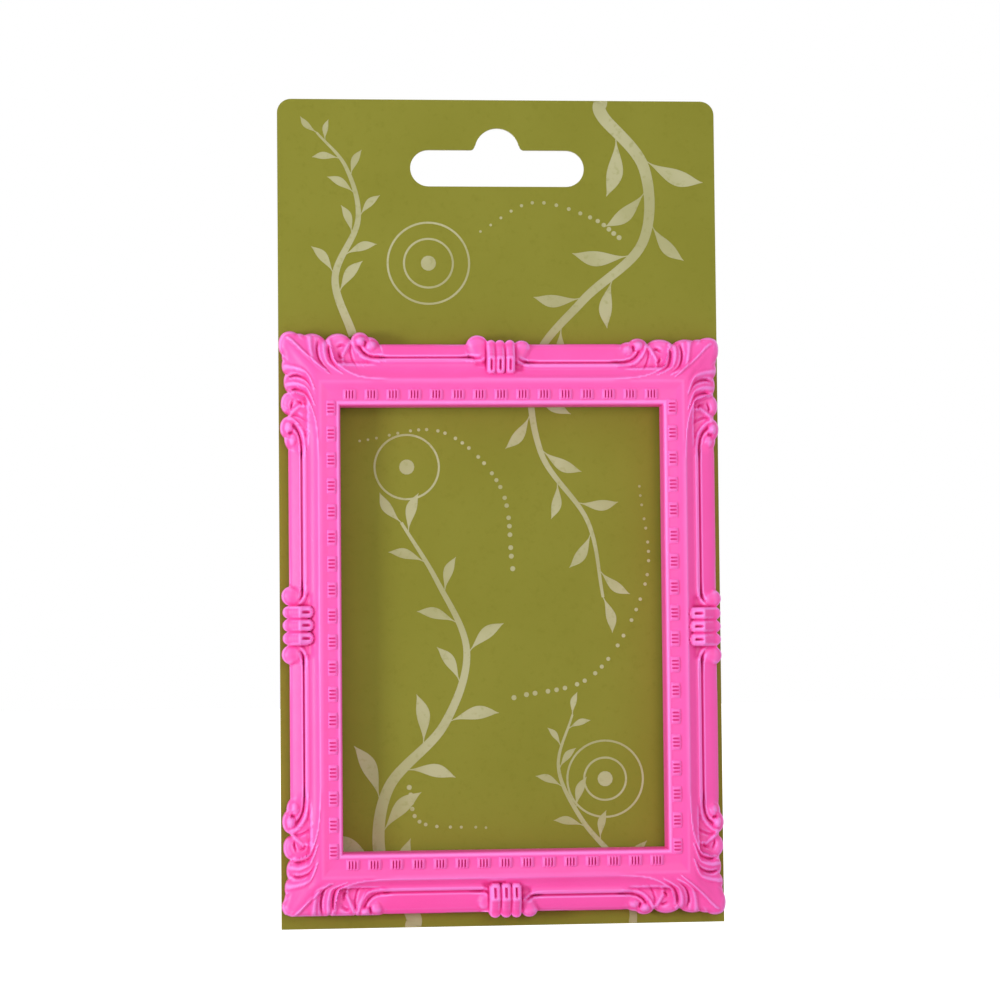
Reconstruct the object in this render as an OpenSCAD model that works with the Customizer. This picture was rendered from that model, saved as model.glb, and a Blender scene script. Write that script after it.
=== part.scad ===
// Magnetic mini photo frame with baroque mouldings, held on its hang card.
// Upright: X across, Z up, the front looks along -Y, the card's back lies in the plane Y = 0.

/* [Frame] */
// Width over the corner tips, mm
frame_w = 75; // [60:0.5:150]
// Height over the corner tips, mm
frame_h = 100; // [80:0.5:200]
// Width of the window, mm
window_w = 54.8; // [35:0.1:120]
// Height of the window, mm
window_h = 75.1; // [50:0.1:170]
// Depth of the moulding at its crest line, mm
frame_d = 6.2; // [5:0.1:12]
// How far the straight top edge stays inside the corner tips, mm
edge_inset_top = 2.3; // [1.5:0.1:4]
// How far the straight bottom edge stays inside the corner tips, mm
edge_inset_bottom = 1.35; // [0.6:0.1:4]
// How far the straight side edges stay inside the corner tips, mm
edge_inset_side = 1.2; // [0.6:0.1:3]

/* [Rail profile] */
// Height of the outer edge of a rail, mm
edge_h = 3.3; // [2:0.1:6]
// Height of the two raised ribs of a rail, mm
rib_h = 4.3; // [3:0.1:7]
// Height of the tablet channel, mm
channel_h = 5; // [3:0.1:7]
// Height of the band along the window, mm
sight_h = 5.1; // [3:0.1:7]
// Depth to which the hollow cove sags, mm
cove_sag = 0.75; // [0:0.05:1.5]
// Number of steps in each curved span of the profile
span_steps = 3; // [2:1:8]

/* [Tablets] */
// Tablets along the top and along the bottom
tablets_across = 15; // [7:2:31]
// Tablets along each side
tablets_down = 18; // [8:1:40]
// Spacing of the tablets along the top and bottom, mm
tablet_pitch_across = 3.69; // [2.5:0.01:6]
// Spacing of the tablets along the sides, mm
tablet_pitch_down = 4.37; // [2.5:0.01:6]
// Share of the spacing that a tablet fills
tablet_fill = 0.65; // [0.3:0.01:0.9]
// Number of reeds on a tablet
tablet_reeds = 4; // [2:1:6]
// Height of a tablet above its channel, mm
tablet_rise = 0.5; // [0.2:0.05:1.2]

/* [Corners] */
// Length of the scalloped corner along the top rail, mm
corner_len = 17.4; // [12:0.1:24]
// How much longer the corner runs down a side rail
side_stretch = 1.17; // [1:0.01:1.4]
// How much narrower the corner is across a side rail
side_squeeze = 0.78; // [0.6:0.01:1]
// Height of the plain edge under the scallops, mm
scallop_edge_h = 2.6; // [1.5:0.1:5]
// Height of the scallop domes, mm
scallop_top_h = 4.4; // [3:0.1:7]
// Height of the leaf crests where they meet the rail, mm
leaf_top_h = 6.5; // [5:0.1:9]
// How far the foot under the lower left corner is trimmed, mm
foot_trim = 1.3; // [0:0.05:2]

/* [Clasps] */
// Spacing of the three fingers at the top and bottom, mm
finger_pitch = 1.7; // [1.2:0.01:3]
// Spacing of the three fingers at the sides, mm
side_finger_pitch = 2.22; // [1.2:0.01:3]
// Length of a finger at the top and bottom, mm
finger_len = 6; // [4:0.1:9]
// Length of a finger at the sides, mm
side_finger_len = 5.4; // [4:0.1:9]
// How far the fingers stand out past the straight edge of a rail, mm
finger_proud = 0.9; // [0:0.05:1.1]
// Radius of the large scroll of the top clasp, mm
scroll_r_large = 1.9; // [1:0.05:3]
// Radius of the small scrolls of the top and bottom clasps, mm
scroll_r_small = 1.45; // [1:0.05:3]
// Radius of the scrolls of the side clasps, mm
side_scroll_r = 1.75; // [1:0.05:3]
// Sideways offset of the top and bottom clasps, mm
clasp_shift = 0.5; // [-2:0.1:2]

/* [Magnets] */
// Thickness of the flexible magnet strip, mm
magnet_t = 1.5; // [0.5:0.1:3]
// Width of the magnet strip, mm
magnet_w = 4; // [2:0.1:6]
// Thickness of the adhesive tape behind each strip, mm
tape_t = 0.1; // [0.05:0.01:0.5]
// Clearance around a strip in its channel, mm
magnet_gap = 0.2; // [0:0.05:0.5]
// Distance from the corner tips to the strip ends, mm
magnet_end = 12; // [8:0.5:20]
// Width of the wall between the straight edge and the strip channel, mm
channel_wall = 1.5; // [0.8:0.1:3]

/* [Photo rebate] */
// Overlap of the rebate behind the window band, mm
rebate_w = 2.2; // [1:0.1:5]
// Depth of the rebate, mm
rebate_d = 1.2; // [0.5:0.1:3]

/* [Card] */
// How far the card stands out past the corner tips on each side, mm
card_margin = 0.25; // [0:0.05:20]
// Height of the card, mm
card_h = 141.4; // [100:0.1:260]
// Thickness of the card, mm
card_t = 0.5; // [0.3:0.05:2]
// Radius of the two upper corners, mm
card_r = 2.4; // [0.5:0.1:10]
// Distance from the card's lower edge to the lower tips of the frame, mm
card_below = 1.1; // [0:0.1:20]
// Width of the hang slot, mm
slot_w = 30; // [20:0.5:45]
// Height of the hang slot, mm
slot_h = 6.3; // [4:0.1:10]
// Distance from the card's top edge to the slot, mm
slot_drop = 8.7; // [5:0.1:20]
// Width of the round bump over the slot, mm
bump_w = 7.7; // [4:0.1:14]
// Rise of the bump over the slot, mm
bump_rise = 3.8; // [1:0.1:8]
// Radius of the fillets beside the bump, mm
bump_fillet = 0.8; // [0.2:0.1:2]

/* [Glue dots] */
// Diameter of a removable glue dot, mm
dot_d = 6; // [3:0.5:12]
// Thickness of a glue dot, mm
dot_t = 0.3; // [0.1:0.05:1]
// Distance of a dot's centre from the corner tips, mm
dot_inset = 5.4; // [4:0.1:12]

/* [Hidden] */
half_w = frame_w / 2;
edge_x = half_w - edge_inset_side;
edge_z = (frame_h - edge_inset_top - edge_inset_bottom) / 2;
top_z = edge_z + edge_inset_top;
bottom_z = -edge_z - edge_inset_bottom;
rail_u = edge_x - window_w / 2;
rail_v = edge_z - window_h / 2;
card_w = frame_w + 2 * card_margin;
back_y = card_t + dot_t;
overlap = 0.05;

// Places across a rail, as shares of its width
T_BAND = 0.155;
T_RIB_1 = 0.19;
T_GROOVE = 0.21;
T_RIB_2 = 0.31;
T_CREST = 0.565;
T_CREST_END = 0.6;
T_SLOPE = 0.72;
T_SIGHT = 0.925;
groove_h = edge_h - 0.2;
slope_h = frame_d - 0.95;
sight_edge_h = sight_h - 0.5;

// Places in a corner: distance along the top rail, distance in from the tips
TIP = [1.9, 1.9];
TIP_R = 1.9;
LOBE_2 = [5.7, 3.2];
LOBE_2_R = 2.8;
LOBE_3 = [10.2, 3.05];
LOBE_3_R = 2.65;
LOBE_4 = [14, 1.82];
LOBE_4_R = 1.62;
LOBE_5 = [15.55, 2.85];
LOBE_5_R = 1.85;
CREST_START = [2.6, 2.3];
CREST_END = [8, 7.5];
leaf_inner_v = edge_inset_top + T_CREST * rail_v;
rib_t = (T_GROOVE + T_RIB_2) / 2;
rib_v = edge_inset_top + rib_t * rail_v;
bottom_squeeze = (leaf_inner_v - edge_inset_top + edge_inset_bottom) / leaf_inner_v;

dome_fn = 9;
ridge_steps = 4;
strip_len_across = frame_w - 2 * magnet_end;
strip_len_down = frame_h - 2 * magnet_end;
pocket_d = magnet_t + tape_t;
pocket_w = magnet_w + 2 * magnet_gap;
strip_x = edge_x - channel_wall - pocket_w / 2;
strip_z = edge_z - channel_wall - pocket_w / 2;

function mix(a, b, t) = a + (b - a) * t;

// A span of the profile from one place and height to another, bulging out or sagging in
function span(from, to, bulge) = [
    for (i = [0 : span_steps])
        let (t = i / span_steps)
        [mix(from.x, to.x, t), mix(from.y, to.y, t) + bulge * sin(180 * t)]
];

// A quadratic curve and its direction
function curve(a, b, c, t) = a * (1 - t) * (1 - t) + b * 2 * t * (1 - t) + c * t * t;
function heading(a, b, c, t) = (b - a) * (1 - t) + (c - b) * t;

// The rail profile from the outer edge to the window: share of the width, height
rail_profile = concat(
    [[0, 0], [0, edge_h - 0.4]],
    span([0.02, edge_h], [T_BAND, edge_h + 0.3], 0.4),
    [[(T_BAND + T_RIB_1) / 2, rib_h - 0.15], [T_RIB_1, rib_h - 0.25], [T_GROOVE, groove_h]],
    span([T_GROOVE + 0.02, rib_h - 0.5], [T_RIB_2, rib_h - 0.3], 0.4),
    span([T_RIB_2 + 0.03, rib_h - 0.2], [T_CREST - 0.02, frame_d - 0.4], -cove_sag),
    [[T_CREST, frame_d - 0.05], [(T_CREST + T_CREST_END) / 2, frame_d], [T_CREST_END, frame_d - 0.1]],
    [[T_SLOPE - 0.01, slope_h], [T_SLOPE, channel_h]],
    [[T_SIGHT, channel_h - 0.1], [T_SIGHT, sight_h]],
    [[T_SIGHT + 0.035, sight_h + 0.1], [1, sight_edge_h], [1, 0]]
);

// Local frame: X across, Y up, Z to the front, zero at the moulding's back
module stand() {
    translate([0, -back_y, 0]) rotate([90, 0, 0]) children();
}

// The four rails as one mitred ring, lofted from the profile through the four corners
module rails() {
    count = len(rail_profile);
    ring = [
        for (corner = [[-1, 1], [1, 1], [1, -1], [-1, -1]])
            for (p = rail_profile)
                [
                    corner.x * (edge_x - p.x * rail_u),
                    corner.y * (edge_z - p.x * rail_v),
                    p.y
                ]
    ];
    faces = [
        for (c = [0 : 3])
            for (i = [0 : count - 1])
                let (
                    next_i = (i + 1) % count,
                    next_c = (c + 1) % 4
                )
                [c * count + i, next_c * count + i, next_c * count + next_i, c * count + next_i]
    ];
    polyhedron(ring, faces, convexity = 6);
}

// A rib with a rounded crest along a curve, its width and crest height running from end to end
module ridge(a, b, c, widths, crests, arch = 2) {
    count = arch + 3;
    points = [
        for (i = [0 : ridge_steps])
            let (
                t = i / ridge_steps,
                place = curve(a, b, c, t),
                dir = heading(a, b, c, t),
                side = [-dir.y, dir.x] / norm(dir),
                w = mix(widths[0], widths[1], t) / 2,
                h = mix(crests[0], crests[1], t)
            )
            for (k = [-1 : arch + 1])
                let (
                    turn = 180 * min(max(k, 0), arch) / arch,
                    z = (k < 0 || k > arch) ? overlap : h - w * 0.9 * (1 - sin(turn))
                )
                [place.x + side.x * w * cos(turn), -place.y - side.y * w * cos(turn), z]
    ];
    faces = concat(
        [
            for (i = [0 : ridge_steps - 1])
                for (k = [0 : count - 1])
                    let (n = (k + 1) % count)
                    [i * count + k, i * count + n, (i + 1) * count + n, (i + 1) * count + k]
        ],
        [[for (k = [count - 1 : -1 : 0]) k]],
        [[for (k = [0 : count - 1]) ridge_steps * count + k]]
    );
    polyhedron(points, faces, convexity = 4);
}

// A button with a straight edge and a rounded top
module dome(at, r, edge, top) {
    translate([at.x, -at.y, 0]) hull() {
        cylinder(r = r, h = edge, $fn = dome_fn);
        cylinder(r = r * 0.82, h = mix(edge, top, 0.62), $fn = dome_fn);
        cylinder(r = r * 0.45, h = top, $fn = dome_fn);
    }
}

// The plate under the scallops
module corner_plate() {
    linear_extrude(height = scallop_edge_h) polygon([
        [TIP.x, -1.3],
        [LOBE_2.x, -LOBE_2.y],
        [LOBE_4.x, -LOBE_4.y],
        [corner_len, -edge_inset_top - 0.4],
        [corner_len, -leaf_inner_v],
        [leaf_inner_v, -leaf_inner_v]
    ]);
}

// The rising body of the leaf between the scallops and the crest line
module leaf_body() {
    hull() {
        translate([TIP.x, -TIP.y, 0]) cylinder(r = 0.5, h = scallop_top_h - 0.3, $fn = 6);
        translate([leaf_inner_v, -leaf_inner_v, 0]) cylinder(r = 0.4, h = frame_d - 0.2, $fn = 6);
        translate([corner_len - 3, -leaf_inner_v, 0]) cylinder(r = 0.3, h = frame_d - 0.2, $fn = 6);
        translate([LOBE_4.x - 1.5, -LOBE_3.y, 0]) cylinder(r = 0.4, h = scallop_top_h - 0.15, $fn = 6);
    }
}

// Half of a corner, lying along the top rail
module half_corner() {
    corner_plate();
    leaf_body();
    hull() {
        dome(TIP, TIP_R, scallop_edge_h, scallop_top_h);
        dome(TIP + [1.6, 0.4], TIP_R, scallop_edge_h, scallop_top_h);
    }
    dome(LOBE_2, LOBE_2_R, scallop_edge_h, scallop_top_h);
    dome(LOBE_3, LOBE_3_R, scallop_edge_h, scallop_top_h);
    dome(LOBE_4, LOBE_4_R, scallop_edge_h, scallop_top_h + 0.4);
    dome(LOBE_5, LOBE_5_R, scallop_edge_h, scallop_top_h - 0.4);
    ridge([3.9, 1.9], [5, 4.6], [8.6, 7.3], [3.2, 1.2], [4.4, leaf_top_h]);
    ridge([6.3, 2], [6.3, 5.4], [10.4, 7.5], [2, 0.9], [4.7, leaf_top_h]);
    ridge([8.6, 2.2], [8.7, 5.6], [15.5, 8.3], [1.7, 0.7], [4.9, leaf_top_h - 0.1]);
    ridge([11.6, 1.9], [9.7, 3.6], [12.4, 6.2], [1.5, 0.6], [4.9, 5.3]);
    ridge([12.8, 1.5], [12.8, 5], [18.4, rib_v], [1.2, 1.2], [5.1, rib_h + 0.1]);
}

// A whole corner at the upper left; the side half is the top half turned over and stretched
module corner(squeeze) {
    scale([1, squeeze, 1]) half_corner();
    scale([side_squeeze, side_stretch, 1]) mirror([1, 1, 0]) half_corner();
    ridge(CREST_START, (CREST_START + CREST_END) / 2, CREST_END, [1, 0.7], [5.2, leaf_top_h]);
}

module four_corners() {
    for (x = [0, 1]) {
        mirror([x, 0, 0]) translate([-half_w, top_z, 0]) corner(1);
        mirror([x, 0, 0]) translate([-half_w, bottom_z, 0]) mirror([0, 1, 0]) corner(bottom_squeeze);
    }
}

// The rounded end of a finger
module finger_end(x, in, r, top) {
    translate([x, -in, 0]) {
        cylinder(r = r, h = top - r * 0.7, $fn = 8);
        cylinder(r = r * 0.6, h = top, $fn = 8);
    }
}

// One finger of a clasp, its outer end at zero, slotted near its inner end
module finger(x, pitch, length) {
    r = pitch * 0.47;
    slot = pitch * 0.16;
    difference() {
        hull() {
            finger_end(x, r, r, scallop_top_h);
            finger_end(x, length - r, r, frame_d);
        }
        translate([x - slot / 2, -length + 0.9, frame_d - 0.8]) cube([slot, 1.5, 1]);
    }
}

// The scrolled clasp at the middle of a rail; the straight edge of the rail lies along X.
// Each scroll is given as its radius and how far it stands out past the edge.
module clasp(pitch, length, first, second, rib) {
    translate([0, finger_proud, 0])
        for (i = [-1 : 1]) {
            finger(i * pitch, pitch, length);
        }
    scroll(-1, pitch * 1.5, first, rib);
    scroll(1, pitch * 1.5, second, rib);
}

// A scroll beside the fingers, with the rib of the rail curling into it
module scroll(side, from, shape, rib) {
    r = shape[0];
    x = side * (from + r * 0.93);
    in = r - shape[1];
    dome([x, in], r, scallop_edge_h, scallop_top_h + 0.3);
    ridge(
        [x + side * 4.4, rib],
        [x - side * r * 0.7, rib + 0.5],
        [x - side * r * 0.5, in + 0.2],
        [1.1, 0.8],
        [rib_h + 0.1, scallop_top_h + 0.5]
    );
}

module four_clasps() {
    rib_across = rib_t * rail_v;
    rib_down = rib_t * rail_u;
    small = [scroll_r_small, 0.7];
    flush = [scroll_r_small, 0];
    side_scroll = [side_scroll_r, 0.6];
    translate([clasp_shift, edge_z, 0])
        clasp(finger_pitch, finger_len, [scroll_r_large, 1.7], small, rib_across);
    translate([clasp_shift, -edge_z, 0])
        mirror([0, 1, 0])
            clasp(finger_pitch, finger_len, flush, small, rib_across);
    for (x = [0, 1]) {
        mirror([x, 0, 0])
            translate([-edge_x, 0, 0])
                rotate(90)
                    clasp(side_finger_pitch, side_finger_len, side_scroll, side_scroll, rib_down);
    }
}

// A fluted tablet: the reeds run across the rail
module tablet(width, reach) {
    floor_z = channel_h - 0.6;
    crest = channel_h + tablet_rise;
    flute = tablet_rise * 0.6;
    steps = 2 * tablet_reeds - 2;
    top = [
        for (i = [0 : steps])
            [mix(-width / 2, width / 2, i / steps), i % 2 == 0 ? crest : crest - flute]
    ];
    rotate([90, 0, 0])
        linear_extrude(height = reach, center = true)
            polygon(concat([[-width / 2, floor_z]], top, [[width / 2, floor_z]]));
}

// A row of tablets, centred, running along X
module tablet_row(count, pitch, reach) {
    for (i = [0 : count - 1]) {
        translate([(i - (count - 1) / 2) * pitch, 0, 0]) tablet(pitch * tablet_fill, reach);
    }
}

module tablets() {
    share = (T_SLOPE + T_SIGHT) / 2;
    y = edge_z - share * rail_v;
    x = edge_x - share * rail_u;
    reach_v = (T_SIGHT - T_SLOPE) * rail_v - 0.3;
    reach_u = (T_SIGHT - T_SLOPE) * rail_u - 0.3;
    for (side = [-1, 1]) {
        translate([0, side * y, 0]) tablet_row(tablets_across, tablet_pitch_across, reach_v);
        translate([side * x, 0, 0])
            rotate(90)
                tablet_row(tablets_down, tablet_pitch_down, reach_u);
    }
}

// Channels for the strips, the photo rebate and the trimmed foot
module back_cuts() {
    for (side = [0, 1]) {
        mirror([0, side, 0])
            translate([0, strip_z, 0])
                pocket(strip_len_across + 2 * magnet_gap, pocket_w);
        mirror([side, 0, 0])
            translate([strip_x, 0, 0])
                pocket(pocket_w, strip_len_down + 2 * magnet_gap);
    }
    translate([-window_w / 2 - rebate_w, -window_h / 2 - rebate_w, -1])
        cube([window_w + 2 * rebate_w, window_h + 2 * rebate_w, rebate_d + 1]);
    translate([-half_w - 1, bottom_z - 1, -1]) cube([corner_len + 5, foot_trim + 1, 2 * frame_d]);
}

module pocket(width, height) {
    translate([-width / 2, -height / 2, -1]) cube([width, height, pocket_d + 1]);
}

module frame_moulding() {
    color("hotpink") stand() difference() {
        union() {
            rails();
            four_corners();
            four_clasps();
            tablets();
        }
        back_cuts();
    }
}

// A flat bar behind a rail, its centre, width, height, depth and distance from the back
module bar(x, y, width, height, depth, lift) {
    stand() translate([x - width / 2, y - height / 2, lift]) cube([width, height, depth]);
}

module strip_across(side, depth, lift) {
    bar(0, side * strip_z, strip_len_across, magnet_w, depth, lift);
}

module strip_down(side, depth, lift) {
    bar(side * strip_x, 0, magnet_w, strip_len_down, depth, lift);
}

module magnet_strip_top() {
    color("dimgray") strip_across(1, magnet_t, 0);
}

module magnet_strip_bottom() {
    color("dimgray") strip_across(-1, magnet_t, 0);
}

module magnet_strip_left() {
    color("dimgray") strip_down(-1, magnet_t, 0);
}

module magnet_strip_right() {
    color("dimgray") strip_down(1, magnet_t, 0);
}

module strip_tape_top() {
    color("ivory") strip_across(1, tape_t, magnet_t);
}

module strip_tape_bottom() {
    color("ivory") strip_across(-1, tape_t, magnet_t);
}

module strip_tape_left() {
    color("ivory") strip_down(-1, tape_t, magnet_t);
}

module strip_tape_right() {
    color("ivory") strip_down(1, tape_t, magnet_t);
}

module glue_dot(x_side, z_side) {
    color("whitesmoke")
        translate([x_side * (half_w - dot_inset), -card_t, z_side * (top_z - dot_inset)])
            rotate([90, 0, 0])
                cylinder(d = dot_d, h = dot_t, $fn = 48);
}

module glue_dot_upper_left() {
    glue_dot(-1, 1);
}

module glue_dot_upper_right() {
    glue_dot(1, 1);
}

module glue_dot_lower_left() {
    glue_dot(-1, -1);
}

module glue_dot_lower_right() {
    glue_dot(1, -1);
}

// The card's outline, its lower edge at zero
module card_outline() {
    translate([-card_w / 2, 0]) square([card_w, card_h - card_r]);
    translate([-card_w / 2 + card_r, card_h - 2 * card_r]) square([card_w - 2 * card_r, 2 * card_r]);
    for (side = [-1, 1]) {
        translate([side * (card_w / 2 - card_r), card_h - card_r]) circle(r = card_r, $fn = 48);
    }
}

// The hang slot with its round bump and the fillets beside it, centred on the slot
module hang_slot() {
    r = slot_h / 2;
    reach = slot_w / 2 - r;
    translate([-reach, -r]) square([2 * reach, slot_h]);
    for (side = [-1, 1]) {
        translate([side * reach, 0]) circle(r = r, $fn = 48);
    }
    translate([0, r + bump_rise - bump_w / 2]) circle(d = bump_w, $fn = 48);
    difference() {
        translate([-bump_w / 2 - bump_fillet, r - overlap])
            square([bump_w + 2 * bump_fillet, bump_fillet + overlap]);
        for (side = [-1, 1]) {
            translate([side * (bump_w / 2 + bump_fillet), r + bump_fillet])
                circle(r = bump_fillet, $fn = 24);
        }
    }
}

module hang_card() {
    color("olive")
        translate([0, 0, bottom_z - card_below])
            rotate([90, 0, 0])
                linear_extrude(height = card_t)
                    difference() {
                        card_outline();
                        translate([0, card_h - slot_drop - slot_h / 2]) hang_slot();
                    }
}

frame_moulding();
magnet_strip_top();
magnet_strip_bottom();
magnet_strip_left();
magnet_strip_right();
strip_tape_top();
strip_tape_bottom();
strip_tape_left();
strip_tape_right();
glue_dot_upper_left();
glue_dot_upper_right();
glue_dot_lower_left();
glue_dot_lower_right();
hang_card();
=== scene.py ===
"""Visual model of a magnetic photo frame on its hang card, laid out as a Blender add-on."""

import math

import bpy
import numpy as np
from mathutils import Matrix, Vector


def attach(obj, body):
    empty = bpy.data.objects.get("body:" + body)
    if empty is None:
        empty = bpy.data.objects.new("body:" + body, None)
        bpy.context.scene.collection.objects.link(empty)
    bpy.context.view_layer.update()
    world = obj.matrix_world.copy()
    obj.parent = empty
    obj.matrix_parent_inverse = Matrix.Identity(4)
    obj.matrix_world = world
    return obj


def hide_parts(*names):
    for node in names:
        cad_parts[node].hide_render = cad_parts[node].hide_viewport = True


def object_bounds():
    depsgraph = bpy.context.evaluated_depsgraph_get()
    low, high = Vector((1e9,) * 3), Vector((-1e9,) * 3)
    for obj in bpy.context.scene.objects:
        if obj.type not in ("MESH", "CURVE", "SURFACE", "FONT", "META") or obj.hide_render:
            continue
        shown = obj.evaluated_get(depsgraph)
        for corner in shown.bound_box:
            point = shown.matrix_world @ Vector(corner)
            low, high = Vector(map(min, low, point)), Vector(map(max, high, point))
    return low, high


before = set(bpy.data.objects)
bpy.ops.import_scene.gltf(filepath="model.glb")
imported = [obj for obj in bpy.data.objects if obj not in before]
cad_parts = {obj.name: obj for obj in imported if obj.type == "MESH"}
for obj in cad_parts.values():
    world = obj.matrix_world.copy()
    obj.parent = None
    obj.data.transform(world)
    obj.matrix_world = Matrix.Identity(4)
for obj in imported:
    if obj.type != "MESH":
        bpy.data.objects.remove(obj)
CAD_BOX = [list(map(float, corner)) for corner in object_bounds()]

bl_info = {
    "name": "Magnetic Photo Frame",
    "version": (1, 0, 0),
    "blender": (4, 5, 0),
    "location": "View3D > Sidebar > Photo Frame",
    "description": "Builds a scrolled magnetic photo frame on its hang card",
    "category": "Object",
}

MM = 0.001
COORDINATES = "Object"

# Places across a rail as shares of its width, and the heights there above the moulding's back, mm
RAIL_PROFILE = [
    (0.0, 3.1), (0.012, 3.4), (0.04, 3.75), (0.08, 4.0), (0.12, 4.2), (0.155, 4.36),
    (0.18, 4.45), (0.195, 4.35), (0.204, 3.8), (0.214, 3.8), (0.224, 4.35),
    (0.245, 4.68), (0.274, 4.8), (0.292, 4.76), (0.31, 4.68), (0.34, 4.64), (0.38, 4.7),
    (0.42, 4.82), (0.46, 4.98), (0.5, 5.2), (0.54, 5.46), (0.56, 5.6), (0.577, 5.7),
    (0.592, 5.74), (0.62, 5.73), (0.66, 5.67), (0.7, 5.6), (0.73, 5.54), (0.76, 5.5),
    (0.91, 5.45), (0.94, 5.56), (0.965, 5.5), (0.985, 5.3), (1.0, 4.95),
]
CREST = 0.577
CREST_HEIGHT = 5.7
GROOVE = 0.209
RIB_INNER = 0.274
LEAF_END = 0.592

# What each half rail has of its own: the thin groove in from the straight edge, mm, how much longer
# its ornament runs than the noted one, and how much shallower
HALVES = {
    ("top", -1): (2.32, 0.985, 1.0), ("top", 1): (3.25, 1.0, 0.76),
    ("bottom", -1): (3.64, 1.0, 0.9), ("bottom", 1): (2.78, 1.0, 0.8),
    ("left", -1): (2.35, 1.23, 0.9), ("left", 1): (2.2, 1.17, 0.9),
    ("right", -1): (2.75, 1.12, 0.75), ("right", 1): (2.75, 1.133, 0.75),
}
# How far the tips of each corner stand back, across and up, mm
TIP_BACK = {(-1, 1): (0.0, 0.0), (1, 1): (0.2, 1.15), (1, -1): (0.2, 0.45), (-1, -1): (0.0, 0.0)}
RIB_BEYOND = 0.7
# How far a raised line stands over the surface that it crosses, mm
LEAST_RISE = 0.03
MOST_RISE = 0.42

# Scallops of a corner as (along, in, radius), from the corner tip, mm
SCALLOPS = [(3.5, 2.3, 1.9), (5.7, 3.2, 2.8), (10.2, 3.05, 2.65), (14.0, 1.82, 1.62), (15.55, 2.85, 1.85)]
SIDE_SCALLOPS = [
    (3.4, 2.3, 1.7), (4.9, 2.1, 1.5), (7.3, 2.75, 1.8), (10.45, 1.98, 1.6), (14.0, 1.82, 1.62), (15.55, 2.85, 1.85)
]
TIP_RADIUS = 1.9
TIP_START = 0.557

# Raised lines of a corner as (along, in, height, half width), mm
CORNER_RIDGES = [
    [(5.3, 1.2, 4.6, 0.8), (5.5, 3.2, 5.0, 0.7), (6.0, 4.9, 5.4, 0.6), (7.0, 6.2, 5.7, 0.5), (8.5, 7.2, 5.85, 0.4)],
    [(7.9, 1.5, 4.6, 0.5), (7.75, 3.4, 5.0, 0.45), (8.3, 5.2, 5.4, 0.4), (9.4, 6.3, 5.7, 0.4),
     (10.9, 7.3, 5.85, 0.35)],
    [(12.4, 1.9, 4.9, 0.45), (11.6, 3.0, 5.0, 0.4), (11.0, 4.2, 5.0, 0.36), (11.1, 5.3, 5.15, 0.34),
     (12.0, 6.4, 5.3, 0.3)],
    [(12.6, 1.0, 4.7, 0.45), (12.95, 2.6, 5.1, 0.42), (13.6, 3.7, 5.1, 0.42), (14.8, 4.6, 5.0, 0.42),
     (16.6, 5.0, 4.9, 0.42), (19.2, 5.08, 4.8, 0.42)],
]
# The long curved crest that runs from the third scallop into the crest of the rail
CORNER_SWEEP = [
    (8.4, 1.1, 4.5, 0.4), (9.15, 3.3, 5.1, 0.4), (9.75, 5.0, 5.5, 0.4), (11.0, 6.35, 5.75, 0.4),
    (13.1, 7.5, 5.85, 0.4), (15.6, 8.02, 5.82, 0.4), (18.2, 8.14, 5.76, 0.4), (21.5, 8.15, 5.7, 0.4),
]
# Sunk lines of a corner as (along, in, depth, half width), mm
CORNER_GROOVES = [
    [(6.85, 1.7, 0.35, 0.17), (6.55, 3.0, 0.75, 0.2), (6.75, 4.4, 0.7, 0.19), (7.4, 5.6, 0.45, 0.17),
     (8.3, 6.5, 0.2, 0.15), (9.4, 7.2, 0.02, 0.12)],
    [(8.75, 2.2, 0.35, 0.16), (8.55, 3.4, 0.7, 0.18), (8.9, 4.8, 0.55, 0.17), (9.7, 5.9, 0.3, 0.15),
     (10.8, 6.8, 0.02, 0.12)],
    [(10.2, 2.75, 0.35, 0.2), (10.9, 2.45, 0.6, 0.2), (11.4, 2.55, 0.2, 0.18)],
    [(10.3, 3.7, 0.25, 0.18), (10.45, 4.3, 0.6, 0.18), (10.9, 4.5, 0.3, 0.16), (11.2, 4.0, 0.05, 0.14)],
    [(12.3, 2.5, 0.3, 0.17), (12.3, 3.6, 0.4, 0.18), (12.8, 5.0, 0.3, 0.18), (13.6, 6.3, 0.02, 0.16)],
    [(13.85, 2.75, 0.6, 0.2), (14.5, 3.55, 0.8, 0.19), (15.6, 4.16, 0.75, 0.17), (17.1, 4.36, 0.7, 0.15),
     (19.2, 4.41, 0.65, 0.14)],
    [(14.85, 2.0, 0.7, 0.2), (14.8, 2.6, 0.5, 0.18)],
]
# The thin crest along a corner's mitre, in real distances from the two tips
MITRE_CREST = [
    (1.5, 1.2, 4.3, 0.3), (2.4, 1.85, 4.8, 0.3), (4.0, 3.5, 5.3, 0.3), (5.6, 5.0, 5.7, 0.3), (6.9, 6.1, 5.95, 0.26),
    (8.0, 7.0, 5.9, 0.2),
]
# Round beads of a corner as (along, in, radius, top), mm
BEADS = [(14.0, 1.85, 0.95, 4.85), (15.9, 2.7, 1.3, 4.45)]

# The corner as it is noted: its straight edge in from the tips, its width from there to the window, mm,
# and how much its inward distances grow past the straight edge
NOTED_INSET = 2.3
NOTED_WIDTH = 10.7
NOTED_GROWTH = 1.055
# Stretches over which one form gives way to the next, mm: along from the corner tips
OUTLINE_FADE = (1.0, 4.0)
OUTER_FADE = (15.8, 18.3)
RIM_FADE = (16.8, 18.4)
RELIEF_FADE = (17.6, 19.2)
# In from the tips, and away from the middle of a clasp
LEAF_SLOPE = (0.4, 8.6)
VALLEY_FADE = (5.2, 5.9)
CLASP_FADE = (2.0, 4.0)
# How far from the corner tips the fine mesh and the relief reach, and half the blend over the mitre, mm
FINE_END = 19.4
RELIEF_END = 20.5
MITRE_BLEND = 0.9
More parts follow.
